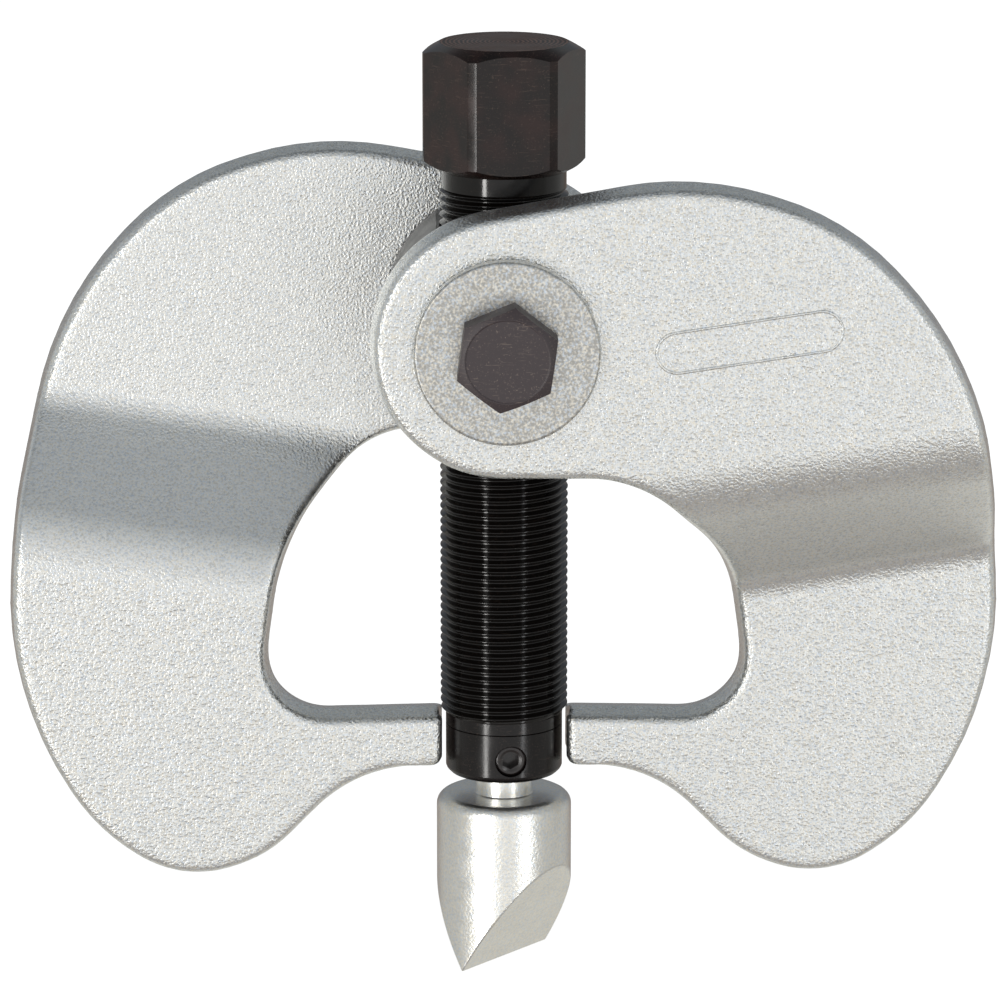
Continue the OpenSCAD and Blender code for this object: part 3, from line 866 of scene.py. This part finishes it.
class SEPARATOR_OT_wedge(bpy.types.Operator):
    """Adds the swivelling wedge with its shank"""
    bl_idname = "separator.wedge"
    bl_label = "Add Wedge"

    def execute(self, context):
        s = context.scene.separator_wedge
        screw_z = SPINDLE_LOW.z + context.scene.separator_spindle.screw_rise
        finishes = context.scene.separator_finishes
        # Turned steel with milled facets, zinc plated: smooth, with long soft highlights.
        zinc = zinc_plate("zinc_plated_turned_steel", finishes.wedge, finishes.zinc_cool, finishes.zinc_warm,
                          grain_mm=0.55, grain_depth_mm=0.06, wave_mm=3.5, wave_depth_mm=0.04,
                          roughness=0.33, pit_darkening=0.08)
        chamfer = 0.5 * MM
        profile = [
            (0, -s.shank_top), (s.shank_r - chamfer, -s.shank_top), (s.shank_r, -s.shank_top - chamfer),
            (s.shank_r, screw_z + s.retain_w / 2), (s.retain_r, screw_z + s.retain_w / 2),
            (s.retain_r, screw_z - s.retain_w / 2), (s.shank_r, screw_z - s.retain_w / 2),
            (s.shank_r, -s.shoulder),
        ]
        steps = 8
        for k in range(steps + 1):
            lean = math.radians(90 * k / steps)
            profile.append((s.body_r - s.shoulder_r * (1 - math.sin(lean)),
                            -s.shoulder - s.shoulder_r * (1 - math.cos(lean))))
        profile += [(s.body_r, -s.edge_drop - MM), (0, -s.edge_drop - MM)]
        bm = lathe(profile)
        for side in (-1, 1):
            level = Matrix.Rotation(s.wedge_turn, 3, "Z") @ Vector((0, side, 0))
            facing = level * math.cos(s.wedge_angle / 2) - Vector((0, 0, math.sin(s.wedge_angle / 2)))
            trim(bm, (0, 0, -s.edge_drop), facing)
        wedge = finished(bm, "wedge_body", zinc)
        crisp(wedge, sharp=28, width=0.35 * MM, segments=3)
        place(wedge, "wedge", "zinc_plated_wedge", "wedge")
        return {"FINISHED"}


class SEPARATOR_OT_thrust_ball(bpy.types.Operator):
    """Gives the thrust ball its finish"""
    bl_idname = "separator.thrust_ball"
    bl_label = "Finish Thrust Ball"

    def execute(self, context):
        steel = ground_steel(context.scene.separator_finishes.bearing)
        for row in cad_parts["thrust_ball"].material_slots:
            row.material = steel
        return {"FINISHED"}


# ---------------------------------------------------------------- nut block, washers and bolts

class SEPARATOR_OT_nut_block(bpy.types.Operator):
    """Adds the nut block with its two trunnions"""
    bl_idname = "separator.nut_block"
    bl_label = "Add Nut Block"

    def execute(self, context):
        s = context.scene.separator_pivot
        thread_r = context.scene.separator_spindle.thread_r
        finishes = context.scene.separator_finishes
        # Milled and turned steel, black oxide finished: duller than the spindle, with coarser specks.
        black = black_steel("black_oxide_nut_block", finishes.oxide, finishes.oxide_worn, roughness=0.36,
                            worn_share=0.6, speck_mm=0.5)
        chamfer = 0.8 * MM
        half = [(s.block_r - chamfer, s.block_half), (s.trunnion_r, s.block_half),
                (s.trunnion_r, s.trunnion_end - chamfer / 2), (s.trunnion_r - chamfer / 2, s.trunnion_end),
                (0, s.trunnion_end)]
        lower = [(radius, -z) for radius, z in reversed(half)]
        waist = [(s.block_r, chamfer - s.block_half), (s.block_r, s.block_half - chamfer)]
        bm = along_pivot(lathe(lower + waist + half))
        trim(bm, (0, 0, s.block_flat), (0, 0, 1))
        trim(bm, (0, 0, -s.block_flat), (0, 0, -1))
        block = finished(bm, "nut_block_body", black)
        combine(block, drill("nut_bore", thread_r + 0.05 * MM, -s.block_r, s.block_r), "DIFFERENCE")
        hole_r, low, high = s.bolt_r + 0.02 * MM, s.bolt_end - MM, s.trunnion_end + MM
        for rear in (False, True):
            hole = along_pivot(lathe([(0, low), (hole_r, low), (hole_r, high), (0, high)], steps=48), rear)
            combine(block, finished(hole, "bolt_hole"), "DIFFERENCE")
        coat(block, black)
        crisp(block)
        place(block, "nut", "black_oxide_steel", "nut_block")
        return {"FINISHED"}


class SEPARATOR_OT_washers(bpy.types.Operator):
    """Adds the two washers on the trunnions' ends"""
    bl_idname = "separator.washers"
    bl_label = "Add Washers"

    def execute(self, context):
        s = context.scene.separator_pivot
        finishes = context.scene.separator_finishes
        # Blanked and tumbled steel with dull zinc: finer and greyer than the jaws, with rounded rims.
        zinc = zinc_plate("zinc_plated_tumbled_washer", finishes.washer, finishes.zinc_cool,
                          finishes.zinc_warm, grain_mm=0.6, grain_depth_mm=0.04, wave_mm=3.0,
                          wave_depth_mm=0.03, roughness=0.36, pit_darkening=0.08)
        hole_r = s.bolt_r + 0.25 * MM
        low, high = s.trunnion_end, s.trunnion_end + s.washer_t
        curl = 0.7 * MM
        outer = []
        steps = 4
        for k in range(steps + 1):
            lean = math.radians(90 * k / steps)
            outer.append((s.washer_r - curl * (1 - math.cos(lean)), high - curl * (1 - math.sin(lean))))
        sharp_side = 0.15 * MM
        profile = [(hole_r, low), (s.washer_r - sharp_side, low), (s.washer_r, low + sharp_side)]
        profile += outer + [(hole_r + sharp_side, high), (hole_r, high - sharp_side)]
        for node, rear in (("front_washer", False), ("rear_washer", True)):
            washer = finished(along_pivot(lathe(profile, steps=144, ring=True), rear), node + "_disc", zinc)
            crisp(washer, sharp=35)
            place(washer, "nut", "zinc_plated_washer", node)
        return {"FINISHED"}


class SEPARATOR_OT_bolts(bpy.types.Operator):
    """Adds the two pivot bolts"""
    bl_idname = "separator.bolts"
    bl_label = "Add Pivot Bolts"

    def execute(self, context):
        s = context.scene.separator_pivot
        finishes = context.scene.separator_finishes
        # Quenched and tempered steel, manganese phosphated and oiled: dull brown-black with rubbed specks.
        black = black_steel("manganese_phosphated_bolt", finishes.phosphate, finishes.phosphate_worn,
                            roughness=0.5, worn_share=0.5, speck_mm=0.35)
        seat = s.trunnion_end + s.washer_t
        top = seat + s.bolt_head_h
        rim = dome(s.bolt_face_r, s.bolt_af, top)
        chamfer = 0.8 * MM
        sunk = 0.15 * MM
        ring = [(s.bolt_face_r - 0.1 * MM, top), (s.bolt_face_r - 0.35 * MM, top - sunk)]
        for node, rear in (("front_bolt", False), ("rear_bolt", True)):
            bm = lathe([(0, s.bolt_end), (s.bolt_r - chamfer, s.bolt_end), (s.bolt_r, s.bolt_end + chamfer),
                        (s.bolt_r, seat), (rim[0][0], seat)] + rim + ring + [(0, top - sunk)])
            hexagon(bm, s.bolt_af, math.radians(90) - s.bolt_turn)
            bolt = finished(along_pivot(bm, rear), node + "_body", black)
            crisp(bolt, sharp=20)
            place(bolt, "nut", "phosphated_bolt", node)
        return {"FINISHED"}


# ---------------------------------------------------------------- stage

def soft_light(name, azimuth, width, radiance, tint, pieces, rise=-4, distance=1.3, height=1.5):
    """A tall softbox that faces the object and lights only some pieces. Azimuth 0 is the front, 90 is +X."""
    data = bpy.data.lights.new(name, "AREA")
    data.shape = "RECTANGLE"
    data.size = width
    data.size_y = height
    data.color = tint
    data.energy = radiance * math.pi * width * height
    light = bpy.data.objects.new(name, data)
    around = math.radians(azimuth)
    up = math.radians(rise)
    away = Vector((math.sin(around) * math.cos(up), -math.cos(around) * math.cos(up), math.sin(up)))
    light.location = away * distance
    light.rotation_euler = away.to_track_quat("Z", "Y").to_euler()
    light.visible_camera = False
    lit = bpy.data.collections.new(name + "_pieces")
    for piece in pieces:
        lit.objects.link(piece)
    light.light_linking.receiver_collection = lit
    bpy.context.scene.collection.objects.link(light)


def surroundings():
    """A white backdrop, and the studio that the metal reflects: bright in front, dark above and behind."""
    world = bpy.data.worlds.new("studio")
    bpy.context.scene.world = world
    world.use_nodes = True
    tree = world.node_tree
    tree.nodes.clear()
    towards = add(tree, "ShaderNodeTexCoord").outputs["Generated"]
    axes = add(tree, "ShaderNodeSeparateXYZ", {"Vector": towards})
    height = add(tree, "ShaderNodeMapRange",
                 {"Value": axes.outputs["Z"], "From Min": -1.0, "From Max": 1.0})

    def banded(stops):
        """Colours from straight down to straight up, at sines of their elevation."""
        ramp = add(tree, "ShaderNodeValToRGB", {"Fac": height.outputs["Result"]})
        ramp.color_ramp.interpolation = "EASE"
        elements = ramp.color_ramp.elements
        while len(elements) < len(stops):
            elements.new(0.5)
        for element, (sine, shade) in zip(elements, stops):
            element.position = (sine + 1) / 2
            element.color = (*shade, 1)
        return ramp.outputs["Color"]

    front = banded([(-1.0, (0.49, 0.48, 0.45)), (-0.97, (0.42, 0.40, 0.38)), (-0.90, (0.34, 0.32, 0.31)),
                    (-0.72, (0.36, 0.34, 0.33)), (-0.52, (0.55, 0.54, 0.52)), (-0.36, (0.98, 0.98, 0.97)),
                    (-0.10, (0.98, 0.98, 0.98)), (0.06, (0.78, 0.79, 0.80)), (0.50, (0.70, 0.71, 0.72)),
                    (0.80, (0.50, 0.52, 0.53)), (0.97, (0.36, 0.38, 0.40)), (1.0, (0.30, 0.32, 0.34))])
    side = banded([(-1.0, (0.49, 0.48, 0.45)), (-0.6, (0.42, 0.41, 0.39)), (-0.25, (0.58, 0.58, 0.56)),
                   (0.25, (0.50, 0.52, 0.53)), (0.7, (0.36, 0.38, 0.40)), (1.0, (0.30, 0.32, 0.34))])
    back = banded([(-1.0, (0.56, 0.55, 0.52)), (-0.66, (0.74, 0.73, 0.68)), (-0.38, (0.42, 0.39, 0.36)),
                   (-0.24, (0.28, 0.23, 0.20)), (0.05, (0.23, 0.22, 0.22)), (0.26, (0.22, 0.24, 0.27)),
                   (0.56, (0.38, 0.41, 0.42)), (0.74, (0.14, 0.15, 0.16)), (0.92, (0.09, 0.10, 0.11)),
                   (1.0, (0.30, 0.32, 0.34))])
    aside = add(tree, "ShaderNodeMath", {0: axes.outputs["X"]}, operation="ABSOLUTE")
    beside = add(tree, "ShaderNodeMapRange", {"Value": aside.outputs[0], "From Min": 0.42, "From Max": 0.82},
                 interpolation_type="SMOOTHSTEP")
    behind = add(tree, "ShaderNodeMapRange",
                 {"Value": axes.outputs["Y"], "From Min": -0.12, "From Max": 0.12},
                 interpolation_type="SMOOTHSTEP")
    ends = add(tree, "ShaderNodeMix", {MIX_FACTOR: behind.outputs["Result"], MIX_A: front, MIX_B: back},
               data_type="RGBA")
    studio = add(tree, "ShaderNodeMix", {MIX_FACTOR: beside.outputs["Result"],
                                         MIX_A: ends.outputs[MIX_RESULT], MIX_B: side}, data_type="RGBA")
    seen = add(tree, "ShaderNodeLightPath").outputs["Is Camera Ray"]
    shown = add(tree, "ShaderNodeMix", {MIX_FACTOR: seen, MIX_A: studio.outputs[MIX_RESULT],
                                        MIX_B: (1, 1, 1, 1)}, data_type="RGBA")
    glow = add(tree, "ShaderNodeBackground", {"Color": shown.outputs[MIX_RESULT], "Strength": 1.0})
    add(tree, "ShaderNodeOutputWorld", {"Surface": glow.outputs["Background"]})


class SEPARATOR_OT_stage(bpy.types.Operator):
    """Adds the camera, the lights, the surroundings and the floor"""
    bl_idname = "separator.stage"
    bl_label = "Add Stage"

    def execute(self, context):
        s = context.scene.separator_studio
        lens = bpy.data.cameras.new("camera")
        lens.lens = s.camera_lens
        lens.sensor_width = 36
        lens.clip_start = 0.05
        lens.clip_end = 100
        camera = bpy.data.objects.new("camera", lens)
        back = Vector((-math.cos(s.camera_rise) * math.sin(s.camera_turn),
                       -math.cos(s.camera_rise) * math.cos(s.camera_turn), math.sin(s.camera_rise)))
        camera.location = Vector((s.target_x, 0, s.target_z)) + back * s.camera_distance
        camera.rotation_euler = back.to_track_quat("Z", "Y").to_euler()
        context.scene.collection.objects.link(camera)
        bpy.context.scene.camera = camera
        bpy.context.scene.view_settings.view_transform = "Standard"

        surroundings()
        # The black and turned pieces need strong streaks of light, which would burn out the flat plates.
        warm, cool = (1.0, 0.985, 0.96), (0.97, 0.985, 1.0)
        meshes = [piece for piece in context.scene.objects if piece.type == "MESH"]
        plates = [piece for piece in meshes if "jaw" in piece.name or "washer" in piece.name]
        turned = [piece for piece in meshes if piece not in plates]
        for prefix, pieces, key, fill in (("", turned, 18.0, 6.0), ("weak_", plates, 4.0, 2.0)):
            soft_light(prefix + "key_softbox", -37, 0.15, key, warm, pieces)
            soft_light(prefix + "fill_softbox", 38, 0.12, fill, cool, pieces)

        bm = bmesh.new()
        bmesh.ops.create_grid(bm, x_segments=8, y_segments=8, size=s.floor_half)
        bmesh.ops.translate(bm, verts=bm.verts, vec=(0, 0, CAD_BOX[0][2] - 0.2 * MM))
        floor = finished(bm, "floor", studio_floor(context.scene.separator_finishes.floor), sharp=0)
        floor.visible_glossy = False
        floor.visible_diffuse = False
        floor.visible_shadow = False
        return {"FINISHED"}


# ---------------------------------------------------------------- add-on

STEPS = ("jaws", "spindle", "set_screw", "wedge", "thrust_ball", "nut_block", "washers", "bolts", "stage")
GROUPS = {
    "separator_jaw": JawSizes,
    "separator_spindle": SpindleSizes,
    "separator_wedge": WedgeSizes,
    "separator_pivot": PivotSizes,
    "separator_finishes": Finishes,
    "separator_studio": Studio,
}


class SEPARATOR_PT_panel(bpy.types.Panel):
    """Lists the sizes, the colours and the steps"""
    bl_idname = "SEPARATOR_PT_panel"
    bl_label = "Ball Joint Separator"
    bl_space_type = "VIEW_3D"
    bl_region_type = "UI"
    bl_category = "Separator"

    def draw(self, context):
        for step in STEPS:
            self.layout.operator("separator." + step)
        for group in GROUPS:
            box = self.layout.box()
            values = getattr(context.scene, group)
            for name in values.__annotations__:
                box.prop(values, name)


CLASSES = (
    *GROUPS.values(),
    SEPARATOR_OT_jaws,
    SEPARATOR_OT_spindle,
    SEPARATOR_OT_set_screw,
    SEPARATOR_OT_wedge,
    SEPARATOR_OT_thrust_ball,
    SEPARATOR_OT_nut_block,
    SEPARATOR_OT_washers,
    SEPARATOR_OT_bolts,
    SEPARATOR_OT_stage,
    SEPARATOR_PT_panel,
)


def register():
    for kind in CLASSES:
        bpy.utils.register_class(kind)
    for name, kind in GROUPS.items():
        setattr(bpy.types.Scene, name, PointerProperty(type=kind))


def unregister():
    for name in GROUPS:
        delattr(bpy.types.Scene, name)
    for kind in reversed(CLASSES):
        bpy.utils.unregister_class(kind)


def main():
    register()
    for step in STEPS:
        getattr(bpy.ops.separator, step)()


if __name__ == "__main__":
    main()
